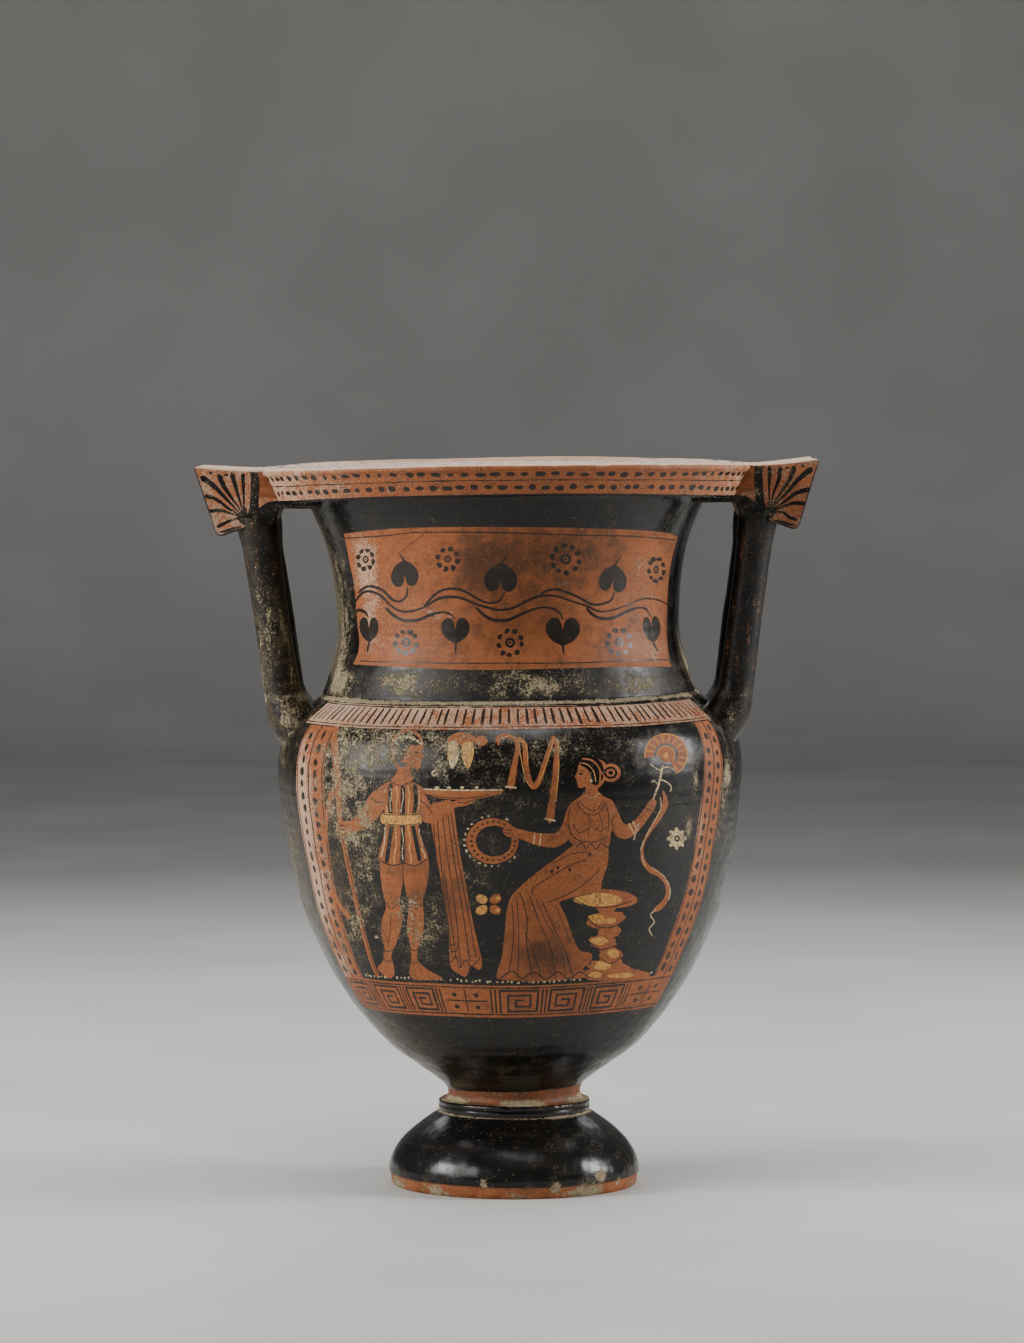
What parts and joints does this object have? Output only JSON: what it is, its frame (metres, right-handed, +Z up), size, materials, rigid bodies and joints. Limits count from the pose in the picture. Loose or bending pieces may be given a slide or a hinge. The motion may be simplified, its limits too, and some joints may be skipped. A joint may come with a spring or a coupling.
{
  "type": "column krater",
  "caption": "Footed mixing bowl of painted fired clay with a tall concave neck, an overhanging rim and upright column handles under flat plates.",
  "frame": {"origin": "under the middle of the bounding box, on the surface the foot stands on", "axes": "+Z up, X through the two handles, -Y towards the side with the main picture"},
  "size_m": [0.4192, 0.34, 0.4943],
  "materials": {
    "painted_clay": "gloss"
  },
  "bodies": {
    "root": {"krater": "painted_clay"}
  },
  "joints": []
}
